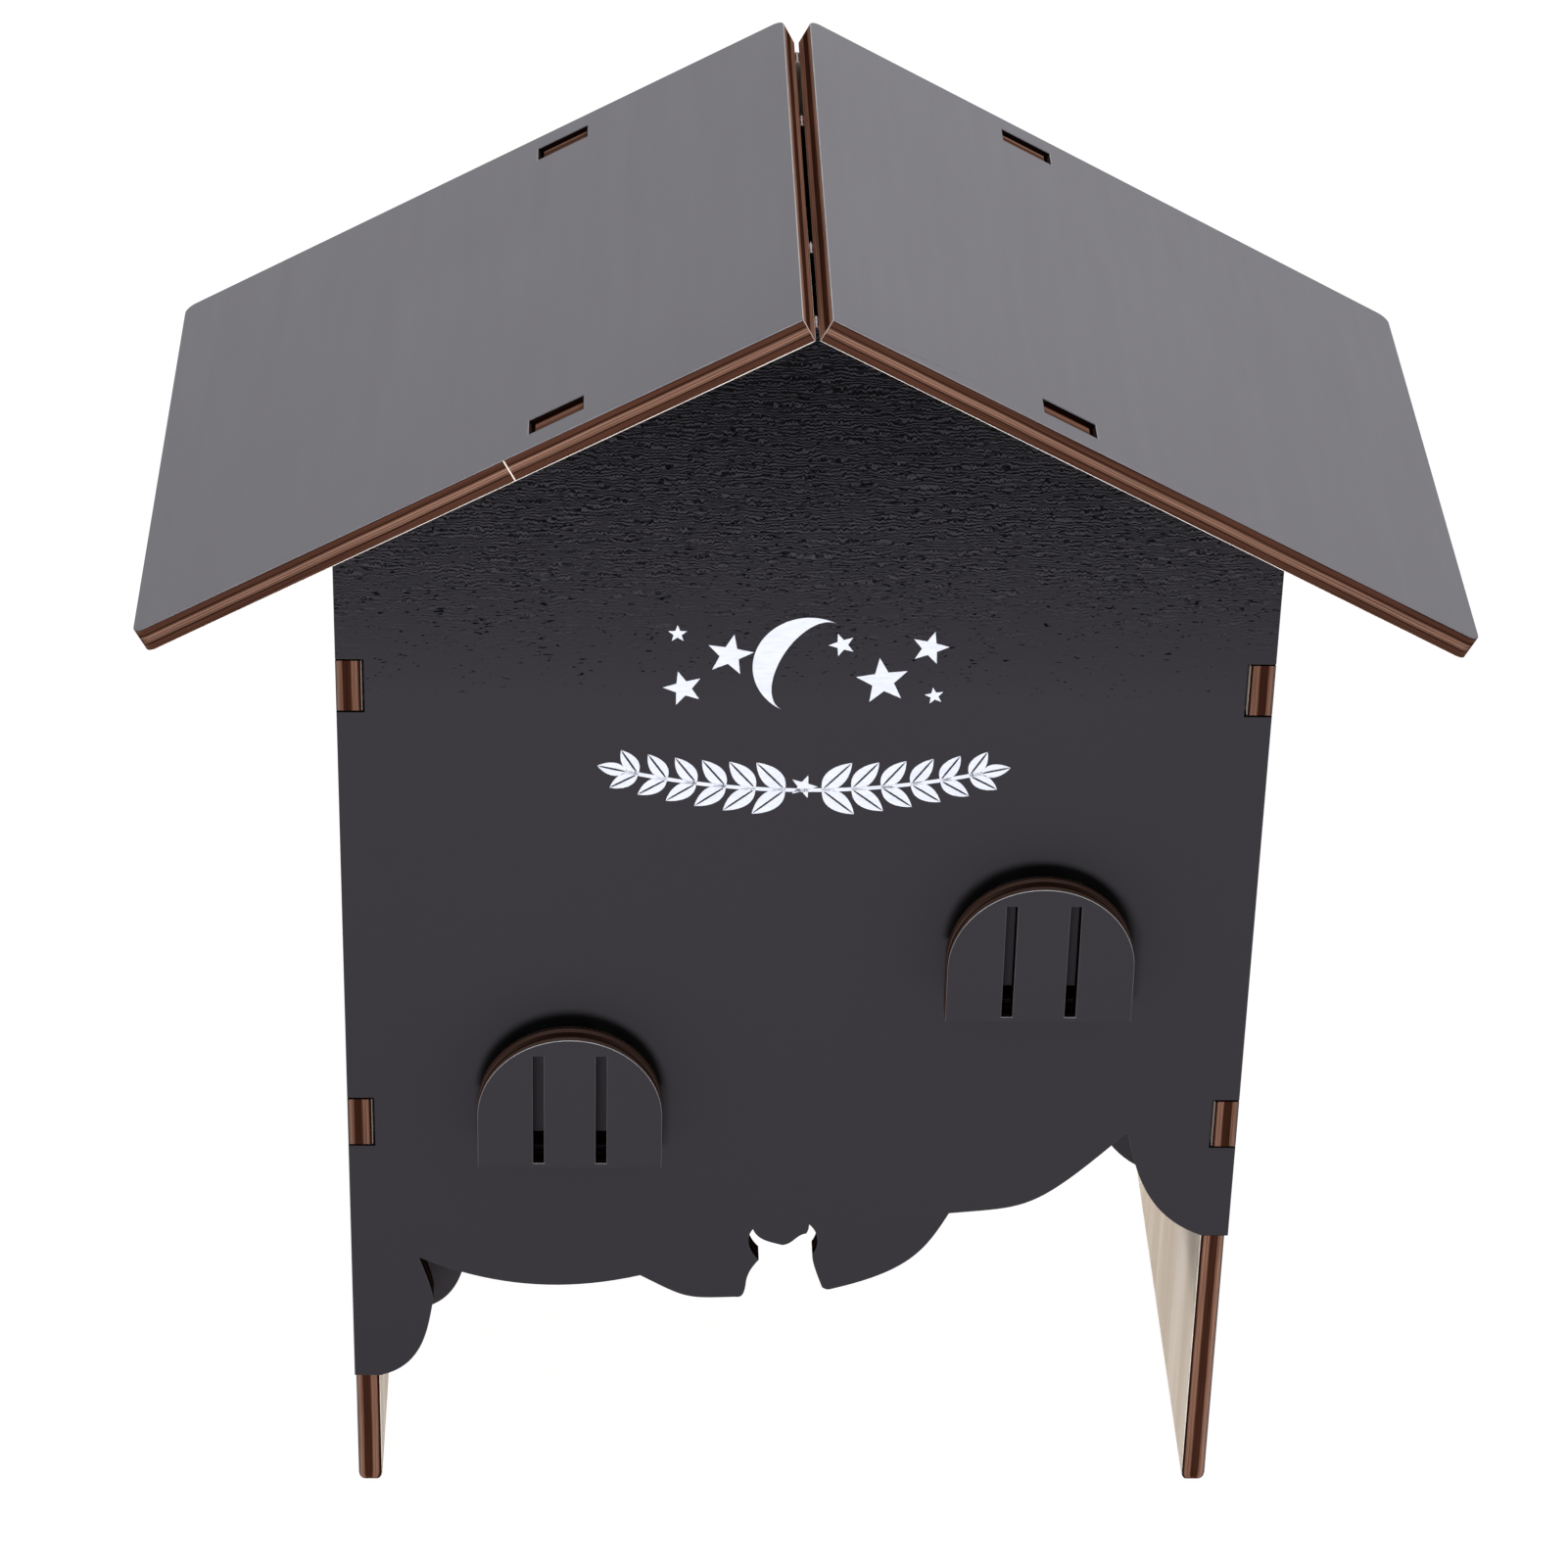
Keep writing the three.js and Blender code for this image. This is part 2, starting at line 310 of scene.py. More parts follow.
def makePanelPaint(name, grainAxis, setup, shade=None):
    material, tree, shader = newMaterial(name, specular=setup["specular"])
    place = objectPlace(tree)
    rise = remap(tree, coordinate(tree, place, "Z"), setup["evenUpTo"], setup["darkestAt"])
    patches = noise(tree, place, scale=setup["patchScale"], detail=3, roughness=0.6)
    rough = plus(tree, rise, remap(tree, patches, *noiseSpan, -setup["patchLift"], setup["patchLift"]))
    crack, crestHighlight = addCracks(tree, grainAxis, rise, rough, paintCracks)
    dash = addDashes(tree, grainAxis, rise, rough, paintDashes)
    # darker towards the ridge: partly the cracked paint, partly painted shade under the roof
    colour = mixColours(tree, rise, setup["colour"], setup["topColour"])
    mottling = noise(tree, place, scale=setup["mottleScale"])
    mottle = mixColours(tree, mottling, setup["mottle"], (1, 1, 1, 1))
    colour = mixColours(tree, 1.0, colour, mottle, "MULTIPLY")
    # painted highlight on the crests
    colour = mixColours(tree, crestHighlight, colour, paintCracks["crestHighlight"])
    for mark in (crack, dash):
        colour = mixColours(tree, mark, colour, paintCracks["colour"])
    # painted shadows above the window plates' arches
    if shade:
        colour = addArchShade(tree, colour, shade)
    tree.links.new(colour, shader.inputs["Base Color"])
    tree.links.new(remap(tree, patches, *noiseSpan, *setup["roughness"]), shader.inputs["Roughness"])
    relief = times(tree, noise(tree, place, scale=setup["peelScale"], detail=1), setup["peelHeight"])
    relief = plus(tree, relief, times(tree, crestHighlight, setup["crestHeight"]))
    for mark in (crack, dash):
        relief = minus(tree, relief, times(tree, mark, setup["crackDepth"]))
    addBump(tree, shader, relief, setup["relief"])
    return material


# Satin paint on the roof boards, with the veneer just showing through

roofPaint = {
    "colour": srgb(104, 102, 109),
    "lighter": srgb(109, 107, 114),
    "veneerScale": (18, 260),  # along the grain, across it
    "veneerShare": 0.35,
    "cloudScale": 9,
    "cloudShare": 0.65,
    "toneSpan": (0.35, 0.65),
    "roughness": (0.39, 0.47),
    "specular": 0.32,
    "fineScale": 1600,
    "fineHeight": 0.3,
    "relief": 0.03 * mm,
    "reliefStrength": 0.5,
}


def makeRoofPaint(name, grainAxis, setup):
    material, tree, shader = newMaterial(name, specular=setup["specular"])
    veneer = noise(tree, grainPlace(tree, grainAxis, *setup["veneerScale"]), detail=4, roughness=0.55)
    cloud = noise(tree, objectPlace(tree), scale=setup["cloudScale"])
    tone = plus(tree, times(tree, veneer, setup["veneerShare"]), times(tree, cloud, setup["cloudShare"]))
    colour = mixColours(tree, remap(tree, tone, *setup["toneSpan"]), setup["colour"], setup["lighter"])
    tree.links.new(colour, shader.inputs["Base Color"])
    tree.links.new(remap(tree, veneer, *noiseSpan, *setup["roughness"]), shader.inputs["Roughness"])
    fine = noise(tree, objectPlace(tree), scale=setup["fineScale"], detail=1)
    relief = plus(tree, veneer, times(tree, fine, setup["fineHeight"]))
    addBump(tree, shader, relief, setup["relief"], setup["reliefStrength"])
    return material


# Bare veneer inside

bareWood = {
    "colour": srgb(231, 219, 206),
    "darker": srgb(212, 197, 180),
    "figureScale": (7, 90),  # along the grain, across it
    "figureSpan": (0.34, 0.66),
    "pore": srgb(182, 161, 140),
    "poreScale": (130, 2400),
    "poreSpan": (0.62, 0.74),
    "poreShare": 0.35,
    "poreDepth": 0.5,
    "relief": 0.06 * mm,
    "reliefStrength": 0.6,
}


def makeBareWood(name, grainAxis, setup):
    material, tree, shader = newMaterial(name, roughness=0.68)
    figure = noise(tree, grainPlace(tree, grainAxis, *setup["figureScale"]), detail=4, roughness=0.55)
    pores = noise(tree, grainPlace(tree, grainAxis, *setup["poreScale"]), roughness=0.6)
    pale = remap(tree, figure, *setup["figureSpan"], smooth=True)
    colour = mixColours(tree, pale, setup["darker"], setup["colour"])
    pored = remap(tree, pores, *setup["poreSpan"], 0.0, setup["poreShare"])
    colour = mixColours(tree, pored, colour, setup["pore"])
    tree.links.new(colour, shader.inputs["Base Color"])
    relief = minus(tree, figure, times(tree, pores, setup["poreDepth"]))
    addBump(tree, shader, relief, setup["relief"], setup["reliefStrength"])
    return material


# Tones of the laser-cut edges, from soot to bright wood
edgeTones = {
    "char": srgb(42, 22, 15),
    "dark": srgb(64, 37, 27),
    "russet": srgb(98, 63, 50),
    "brown": srgb(116, 79, 64),
    "warm": srgb(132, 95, 79),
    "tan": srgb(148, 110, 93),
    "pale": srgb(182, 142, 124),
    "soaked": srgb(116, 97, 89),  # wood that took up some paint
}
# Cut edges: three plies, read from the painted face (0) to the bare face (1). A ply looks pale
# where the cut runs along its grain and dark where the cut shows its end grain.
cutEdge = {
    "alongGrain": [
        (0.0, "soaked"), (0.07, "soaked"), (0.1, "tan"), (0.17, "tan"), (0.2, "brown"), (0.24, "warm"),
        (0.28, "dark"), (0.57, "dark"),
        (0.61, "brown"), (0.67, "tan"), (0.72, "brown"), (0.78, "tan"), (0.84, "warm"),
        (0.88, "dark"), (0.92, "char"),
    ],
    "darkStops": 2,  # the last ones above, left out on the roof boards
    "acrossGrain": [
        (0.0, "russet"), (0.05, "char"), (0.1, "russet"), (0.26, "russet"), (0.31, "char"),
        (0.36, "brown"), (0.43, "pale"), (0.48, "brown"), (0.53, "pale"), (0.57, "brown"), (0.61, "tan"),
        (0.67, "char"), (0.72, "russet"), (0.91, "russet"), (0.96, "dark"),
    ],
    "wanderScale": 45,
    "wander": 0.015,  # of the sheet's thickness
    "streakScale": 55,
    "streakLayers": 30.0,  # streaks through the thickness
    "streakTones": (0.54, 1.32),
    "scorchScale": 28,
    "scorchTones": (0.9, 1.08),
    "relief": 0.05 * mm,
    "reliefStrength": 0.6,
}
# Painted highlight on a cross panel's peak, where light falls in through the ridge slit
peakHighlight = {
    "colour": srgb(204, 198, 202),
    "sides": (0.112 * mm, 0.168 * mm),  # from the middle: fully pale up to, gone from
    "height": (260.5 * mm, 261.2 * mm),  # where it starts and where it is fully pale
    "raggedScale": 900,
    "ragged": 0.1 * mm,
}
# The pale seam on the left roof board's front edge
seamMark = {
    "board": "left_roof_panel",
    "colour": srgb(238, 226, 216),
    "fromRidge": 64.38 * mm,  # down the slope
    "sides": (0.09 * mm, 0.18 * mm),
    "depth": (0.25 * mm, 0.35 * mm),  # behind the board's front: fully pale up to, gone from
}


def addRamp(tree, value, stops):
    node = addNode(tree, "ShaderNodeValToRGB", {0: value})
    ramp = node.color_ramp
    while len(ramp.elements) < len(stops):
        ramp.elements.new(1.0)
    for element, (position, tone) in zip(ramp.elements, stops):
        element.position = position
    for element, (position, tone) in zip(ramp.elements, stops):
        element.color = edgeTones[tone]
    return node.outputs["Color"]


def addPeakHighlight(tree, colour, place, mark):
    grit = noise(tree, place, scale=mark["raggedScale"])
    ragged = remap(tree, grit, *noiseSpan, -mark["ragged"], mark["ragged"])
    off = plus(tree, calc(tree, "ABSOLUTE", coordinate(tree, place, "X")), ragged)
    middle = remap(tree, off, *mark["sides"], 1.0, 0.0)
    # painted highlight: the peak's top turns pale
    top = remap(tree, coordinate(tree, place, "Z"), *mark["height"])
    return mixColours(tree, times(tree, middle, top), colour, mark["colour"])


def addSeamMark(tree, colour, place, mark):
    low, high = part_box(mark["board"])
    upward = max(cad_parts[mark["board"]].data.polygons, key=lambda polygon: polygon.area).normal
    downhill = Vector((-abs(upward.z), 0, -abs(upward.x)))
    start = Vector((high.x, 0, high.z)).dot(downhill)
    run = addNode(tree, "ShaderNodeVectorMath", {0: place, 1: downhill}, operation="DOT_PRODUCT")
    off = awayFrom(tree, run.outputs["Value"], start + mark["fromRidge"])
    share = remap(tree, off, *mark["sides"], 1.0, 0.0)
    front, back = (low.y + depth for depth in mark["depth"])
    share = times(tree, share, remap(tree, coordinate(tree, place, "Y"), front, back, 1.0, 0.0))
    return mixColours(tree, share, colour, mark["colour"])


# Streaks: fine through the sheet's thickness, long along the edge
def edgeStreaks(tree, depth, setup):
    layers = {"X": times(tree, depth, setup["streakLayers"])}
    spread = addNode(tree, "ShaderNodeCombineXYZ", layers).outputs[0]
    slow = objectPlace(tree, [setup["streakScale"]] * 3)
    place = addNode(tree, "ShaderNodeVectorMath", {0: slow, 1: spread}, operation="ADD").outputs[0]
    return noise(tree, place, detail=3, roughness=0.6)


def makeCutEdge(name, setup, addMark=None, mark=None, tint=(1, 1, 1), darkLast=True):
    material, tree, shader = newMaterial(name, specular=0.0)
    depth = attribute(tree, "depth")
    place = objectPlace(tree)
    wander = noise(tree, place, scale=setup["wanderScale"])
    line = plus(tree, depth, remap(tree, wander, *noiseSpan, -setup["wander"], setup["wander"]))
    along = addRamp(tree, line, setup["alongGrain"][:None if darkLast else -setup["darkStops"]])
    across = addRamp(tree, line, setup["acrossGrain"])
    bands = mixColours(tree, attribute(tree, "endGrain"), along, across)
    streaks = edgeStreaks(tree, depth, setup)
    scorching = noise(tree, place, scale=setup["scorchScale"])
    scorch = remap(tree, scorching, *noiseSpan, *setup["scorchTones"])
    streak = remap(tree, streaks, *noiseSpan, *setup["streakTones"])
    # the burn attribute carries both laser scorch and painted shade
    tone = times(tree, streak, scorch, attribute(tree, "burnAndShade"))
    tones = {index: times(tree, tone, share) for index, share in enumerate(tint)}
    toneColour = addNode(tree, "ShaderNodeCombineColor", tones).outputs[0]
    colour = mixColours(tree, 1.0, bands, toneColour, "MULTIPLY")
    if addMark:
        colour = addMark(tree, colour, place, mark)
    tree.links.new(colour, shader.inputs["Base Color"])
    addBump(tree, shader, streaks, setup["relief"], setup["reliefStrength"])
    return material


# Rims: where the wear attribute is high, the rubbed rim shows pale wood, and below 0 it is painted black as
# shade

rimWear = {
    "rubbedPaint": srgb(226, 221, 224),
    "rubbedWood": srgb(244, 234, 226),
    "bareRim": srgb(84, 56, 45),
    "patchScale": 160,
    "patchSpan": (0.3, 0.62),
    "patchShares": (0.72, 1.12),
    "specular": 0.05,
}


def makeRim(name, plainColour, wornColour, setup):
    material, tree, shader = newMaterial(name, specular=setup["specular"])
    patches = noise(tree, objectPlace(tree), scale=setup["patchScale"], detail=3, roughness=0.65)
    wear = attribute(tree, "wear")
    share = times(tree, wear, remap(tree, patches, *setup["patchSpan"], *setup["patchShares"]))
    colour = mixColours(tree, share, plainColour, wornColour)
    # below 0 the wear paints the rim black: painted shade
    paintedShade = calc(tree, "MULTIPLY", wear, -1.0, clamp=True)
    colour = mixColours(tree, paintedShade, colour, shadowBlackPaint["colour"])
    tree.links.new(colour, shader.inputs["Base Color"])
    return material


# Print on the front panel

whitePrint = {
    "colour": srgb(229, 232, 243),
    "darker": srgb(221, 224, 236),
    "coverScale": (300, 300, 1500),
    "coverSpan": (0.35, 0.65),
    "relief": 0.02 * mm,
    "reliefStrength": 0.5,
}


def makeWhitePrint(setup):
    material, tree, shader = newMaterial("flat white print", roughness=0.55)
    cover = noise(tree, objectPlace(tree, setup["coverScale"]), detail=3)
    colour = mixColours(tree, remap(tree, cover, *setup["coverSpan"]), setup["darker"], setup["colour"])
    tree.links.new(colour, shader.inputs["Base Color"])
    addBump(tree, shader, cover, setup["relief"], setup["reliefStrength"])
    return material


axisIndex = {"x": 0, "y": 1, "z": 2}
paints = {
    "levelGrain": makePanelPaint("charcoal paint, level grain", axisIndex["x"], panelPaint),
    "windowed": makePanelPaint("charcoal paint with painted shadows above the windows", axisIndex["x"], panelPaint,
                               windowPaintedShadow),
    "uprightGrain": makePanelPaint("charcoal paint, upright grain", axisIndex["z"], panelPaint),
    "soot": makePanelPaint("black paint for painted shade", axisIndex["x"], shadowBlackPaint),
    "roof": makeRoofPaint("satin roof paint", axisIndex["y"], roofPaint),
}
bareVeneers = {axis: makeBareWood("bare veneer " + axis, axisIndex[axis], bareWood) for axis in axisIndex}
cutEdges = {
    "plain": makeCutEdge("laser-cut edge", cutEdge),
    "peaked": makeCutEdge("laser-cut edge with a painted highlight on the peak", cutEdge, addPeakHighlight, peakHighlight),
    "roof": makeCutEdge("laser-cut roof edge", cutEdge, darkLast=False),
    "seamed": makeCutEdge("laser-cut roof edge with a seam", cutEdge, addSeamMark, seamMark,
                          darkLast=False),
    "smoked": makeCutEdge("smoked laser-cut edge", cutEdge, tint=(0.92, 1.1, 1.26)),
}
rims = {
    "panel": makeRim("rubbed panel rim", panelPaint["colour"], rimWear["rubbedPaint"], rimWear),
    "roof": makeRim("rubbed roof rim", roofPaint["colour"], rimWear["rubbedPaint"], rimWear),
    "soot": makeRim("black rim for painted shade", shadowBlackPaint["colour"], shadowBlackPaint["colour"], rimWear),
    "bare": makeRim("bare wood rim", rimWear["bareRim"], rimWear["rubbedWood"], rimWear),
}
print("materials made")

# Sheets: each is cut from its CAD solid, then gets worn rims and its plies

sheetFinish = {
    "paintedRim": 0.16 * mm,
    "bareRim": 0.16 * mm,
    "cornerRim": 0.16 * mm,
    "cornerWear": 0.4,
    "flatShare": 0.99,  # of the sheet's own direction, in a face's normal
    "wallShare": 0.1,
    "mergeDistance": 1e-6,
    "flatAngle": radians(0.3),
    "sharpOver": radians(32),
    "cornerOver": radians(60),
    "footInset": 1.45 * mm,
    "footRise": 2.8 * mm,
    "footClear": 0.3 * mm,  # hidden from above by the foot's rounded corner
    "footCuts": 6,
    "footCutBend": 1.6,  # over 1, the cuts lie closer together near the ground
    "footBend": 1.5,
}
# Places on the sheets that wear or burn in their own way
placeLimits = {
    "tabFront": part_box("front_panel")[1].y - 0.55 * mm,  # the side panels' tabs reach past these
    "tabBack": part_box("back_panel")[0].y + 0.55 * mm,
    "outerEdge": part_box("front_panel")[1].x - 0.5 * mm,
    "notchAcross": (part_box("right_side_panel")[0].x - 1 * mm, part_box("right_side_panel")[1].x - 0.2 * mm),
    "notchHeight": (40 * mm, 205 * mm),
    "roofTabHeight": 200 * mm,
    "roofTabAcross": 20 * mm,
}


def isSideTab(place, outward):
    return place.y < placeLimits["tabFront"] or place.y > placeLimits["tabBack"]


def isTabSide(place, outward):
    return isSideTab(place, outward) and abs(outward.z) > 0.5


def isOuterEdge(place, outward):
    return abs(place.x) > placeLimits["outerEdge"]


def isRoofTab(place, outward):
    return place.z > placeLimits["roofTabHeight"] and abs(place.x) > placeLimits["roofTabAcross"]


def isRidgeOrEaves(place, outward):
    return abs(outward.y) < 0.5


def isNotch(place, outward):
    inner, outer = placeLimits["notchAcross"]
    bottom, top = placeLimits["notchHeight"]
    return inner < abs(place.x) < outer and bottom < place.z < top


# Wear on the painted rims: most where the rim lies towards the given way, less beside. A slot's rim
# leans 1 where it lies towards that way, and -1 opposite. Bare is the wear on the rims of the bare
# side, with other shares at the places that fit.
# The notches' rims get painted shade: black, where the gaps round the tabs lie in shadow
panelWear = {"towards": (0, 0, -1), "most": 0.03, "side": 0.02, "slots": lambda lean: 0.02,
             "bare": 0.9, "paintedShade": isNotch}
sideWear = {**panelWear, "barePlaces": [(isSideTab, 0.22)], "paintedShade": None}
roofWear = {"most": 0.5, "side": 0.08, "bare": 1.0, "slots": lambda lean: 0.08 + 0.42 * max(-lean, 0)}
leftRoofWear = {**roofWear, "towards": (0.88, 0, 0.47)}
rightRoofWear = {**roofWear, "towards": (-0.88, 0, 0.47)}
windowWear = {"towards": (0, 0, 1), "most": 0.5, "side": 0.09, "bare": 0.4,
              "slots": lambda lean: 0.07 * (1 - max(lean, 0))}
wearFade = {
    "bend": 0.7,  # under 1, the wear stays near its most further round the rim
    "bareSlots": 0.2,  # share of the bare side's wear that its slots have
}
# Burn and painted shade on the edges: 1 is bright wood and 0 is black. The first place that fits overrides
# the outline. The low values on the panels' cut-outs, the tabs' top and bottom sides and the slots are partly
# laser scorch and partly painted shade where these edges lie in shadow; the spacers' edges are painted black
# as shade.
panelBurnAndShade = {"outline": 0.1, "slots": 0.3, "places": [(isOuterEdge, 1.0), (isRoofTab, 1.05)]}
sideBurnAndShade = {"outline": 0.95, "slots": 0.4, "places": [(isTabSide, 0.06), (isSideTab, 0.7)]}
roofBurnAndShade = {"outline": 0.63, "slots": 0.16, "places": [(isRidgeOrEaves, 1.25)]}
windowBurnAndShade = {"outline": 0.56, "slots": 0.05}
spacerShade = {"outline": 0.03, "slots": 0.03}

crossPanel = {"grain": "x", "paint": "levelGrain", "edge": "peaked", "rim": "panel",
              "wear": panelWear, "burnAndShade": panelBurnAndShade}
sidePanel = {"grain": "z", "paint": "uprightGrain", "edge": "plain", "rim": "panel",
             "wear": sideWear, "burnAndShade": sideBurnAndShade, "foot": True}
roofBoard = {"painted": (0, 0, 1), "grain": "y", "paint": "roof", "rim": "roof", "burnAndShade": roofBurnAndShade,
             "bareRim": 0.2 * mm, "cutCorners": True}
windowPlate = {"painted": (0, -1, 0), "grain": "x", "paint": "levelGrain", "back": "levelGrain",
               "edge": "smoked", "rim": "panel", "wear": windowWear, "burnAndShade": windowBurnAndShade,
               "paintedRim": 0.11 * mm}
# The spacers are painted near-black as painted shade, where they show through the window slots
windowSpacer = {"painted": (0, -1, 0), "grain": "x", "paint": "soot", "edge": "plain", "rim": "soot",
                "wear": panelWear, "burnAndShade": spacerShade}
sheets = {
    "front_panel": {**crossPanel, "painted": (0, -1, 0), "paint": "windowed"},
    "back_panel": {**crossPanel, "painted": (0, 1, 0)},
    "front_partition": {**crossPanel, "painted": (0, -1, 0)},
    "back_partition": {**crossPanel, "painted": (0, -1, 0)},
    "left_side_panel": {**sidePanel, "painted": (-1, 0, 0)},
    "right_side_panel": {**sidePanel, "painted": (1, 0, 0)},
    "left_roof_panel": {**roofBoard, "edge": "seamed", "wear": leftRoofWear},
    "right_roof_panel": {**roofBoard, "edge": "roof", "wear": rightRoofWear},
    "left_window_plate": windowPlate,
    "left_window_spacer": windowSpacer,
    "right_window_plate": windowPlate,
    "right_window_spacer": windowSpacer,
}
grainAxes = {"x": Vector((1, 0, 0)), "y": Vector((0, 1, 0)), "z": Vector((0, 0, 1))}
painted, bare, edgeZone, paintedRim, bareRim = range(5)


def addPiece(name, mesh, replaced=()):
    piece = bpy.data.objects.new(name, mesh)
    bpy.context.collection.objects.link(piece)
    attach(piece, "root")
    if replaced:
        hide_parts(*replaced)
    return piece


def zoneOf(face, axis):
    lean = face.normal.dot(axis)
    if abs(lean) > sheetFinish["flatShare"]:
        return painted if lean > 0 else bare
    if abs(lean) < sheetFinish["wallShare"]:
        return edgeZone
    return paintedRim if lean > 0 else bareRim


def isRim(edge, axis, flatZone):
    return sorted(zoneOf(face, axis) for face in edge.link_faces) == [flatZone, edgeZone]


def isSharpCorner(edge, axis):
    if any(zoneOf(face, axis) != edgeZone for face in edge.link_faces):
        return False
    return edge.calc_face_angle_signed(0) > sheetFinish["cornerOver"]


# The edge's walls in connected groups, the outline's first
def wallGroups(bm):
    left = {face for face in bm.faces if face.material_index == edgeZone}
    groups = []
    while left:
        group, waiting = [], [left.pop()]
        while waiting:
            face = waiting.pop()
            group.append(face)
            near = {other for edge in face.edges for other in edge.link_faces} & left
            left -= near
            waiting += near
        groups.append(group)
    return sorted(groups, key=lambda group: -sum(face.calc_area() for face in group))


# The share of the first place that fits, or else the usual one
def shareAt(place, outward, places, usual):
    return next((share for fits, share in places if fits(place, outward)), usual)


def burnAndShadeOf(face, isSlot, setup):
    if isSlot:
        return setup["slots"]
    return shareAt(face.calc_center_median(), face.normal, setup.get("places", ()), setup["outline"])


def bevelEdges(bm, edges, width):
    return bmesh.ops.bevel(bm, geom=edges, offset=width, offset_type="OFFSET", segments=2, profile=0.5,
                           affect="EDGES", material=-1, clamp_overlap=False)["faces"]


# The CAD solid with merged corners, and with whole faces in place of its triangles
def openSheet(source, axis):
    bm = bmesh.new()
    bm.from_mesh(source)
    bmesh.ops.remove_doubles(bm, verts=bm.verts, dist=sheetFinish["mergeDistance"])
    bmesh.ops.dissolve_limit(bm, angle_limit=sheetFinish["flatAngle"], verts=bm.verts, edges=bm.edges)
    for face in bm.faces:
        face.material_index = zoneOf(face, axis)
    return bm


def cutRims(bm, axis, sheet):
    if sheet.get("cutCorners"):
        corners = [edge for edge in bm.edges if isSharpCorner(edge, axis)]
        for face in bevelEdges(bm, corners, sheetFinish["cornerRim"]):
            face.material_index = bareRim
    for side, key in ((painted, "paintedRim"), (bare, "bareRim")):
        rimEdges = [edge for edge in bm.edges if isRim(edge, axis, side)]
        bevelEdges(bm, rimEdges, sheet.get(key, sheetFinish[key]))
    for face in bm.faces:
        zone = zoneOf(face, axis)
        isCorner = zone == edgeZone and face.material_index == bareRim
        face.material_index = bareRim if isCorner else zone
        face.smooth = True


def layBurnAndShade(bm, burnAndShade):
    burnAndShadeLayer = bm.faces.layers.float.new("burnAndShade")
    slotLayer = bm.faces.layers.float.new("slotShare")
    for index, group in enumerate(wallGroups(bm)):
        for face in group:
            face[burnAndShadeLayer] = burnAndShadeOf(face, index > 0, burnAndShade)
            for near in {other for edge in face.edges for other in edge.link_faces}:
                near[slotLayer] = float(index > 0)


# How deep each point lies under the painted face, as a share of the thickness
def layDepth(bm, axis):
    levels = [vert.co.dot(axis) for vert in bm.verts]
    top, thickness = max(levels), max(levels) - min(levels)
    depthLayer = bm.verts.layers.float.new("depth")
    for vert in bm.verts:
        vert[depthLayer] = (top - vert.co.dot(axis)) / thickness
    return top, thickness


# Rounds a leg's bottom across its thickness
def roundFoot(bm, axis, middle, halfThick):
    inset, rise, clear = (sheetFinish[key] for key in ("footInset", "footRise", "footClear"))
    cuts = sheetFinish["footCuts"]
    for step in range(1, cuts + 1):
        geometry = bm.verts[:] + bm.edges[:] + bm.faces[:]
        level = (0, 0, rise * (step / cuts) ** sheetFinish["footCutBend"])
        bmesh.ops.bisect_plane(bm, geom=geometry, plane_co=level, plane_no=(0, 0, 1))
    for vert in bm.verts:
        if vert.co.z < rise:
            lift = max((vert.co.z - clear) / (rise - clear), 0) ** sheetFinish["footBend"]
            share = 1 - sqrt(max(1 - (1 - lift) ** 2, 0))
            fromMiddle = vert.co.dot(axis) - middle
            vert.co -= axis * fromMiddle * share * inset / halfThick


def sheetMaterials(sheet):
    back = paints[sheet["back"]] if "back" in sheet else bareVeneers[sheet["grain"]]
    return [paints[sheet["paint"]], back, cutEdges[sheet["edge"]], rims[sheet["rim"]], rims["bare"]]


# The wear where a rim looks outward this way
def wearOf(polygon, outward, axis, sheet, slotted):
    wear = sheet["wear"]
    lean = outward.dot(Vector(wear["towards"]).normalized())
    if polygon.material_index == bareRim:
        if abs(polygon.normal.dot(axis)) < sheetFinish["wallShare"]:
            return sheetFinish["cornerWear"]
        share = shareAt(polygon.center, outward, wear.get("barePlaces", ()), wear["bare"])
        return share * (wearFade["bareSlots"] if slotted else 1.0)
    if slotted:
        return wear["slots"](lean)
    # painted shade on the notches' rims
    if wear.get("paintedShade") and wear["paintedShade"](polygon.center, outward):
        return -1.0
    share = wear["side"] + (wear["most"] - wear["side"]) * max(lean, 0.0) ** wearFade["bend"]
    return share * min(1 + lean, 1)


# The shares of end grain and of wear at each face corner, by the way that the rim or edge looks
def layGrainAndWear(mesh, axis, sheet):
    grain = grainAxes[sheet["grain"]]
    slotShares = mesh.attributes["slotShare"].data
    endGrains, wears = [], []
    for polygon in mesh.polygons:
        slotted = slotShares[polygon.index].value > 0.5
        for corner in polygon.loop_indices:
            outward = mesh.corner_normals[corner].vector
            outward = outward - axis * outward.dot(axis)
            if outward.length < 0.05:
                endGrains.append(0.0)
                wears.append(0.0)
                continue
            outward.normalize()
            endGrains.append(outward.dot(grain) ** 2)
            wears.append(wearOf(polygon, outward, axis, sheet, slotted))
    for name, values in (("endGrain", endGrains), ("wear", wears)):
        mesh.attributes.new(name, "FLOAT", "CORNER").data.foreach_set("value", values)


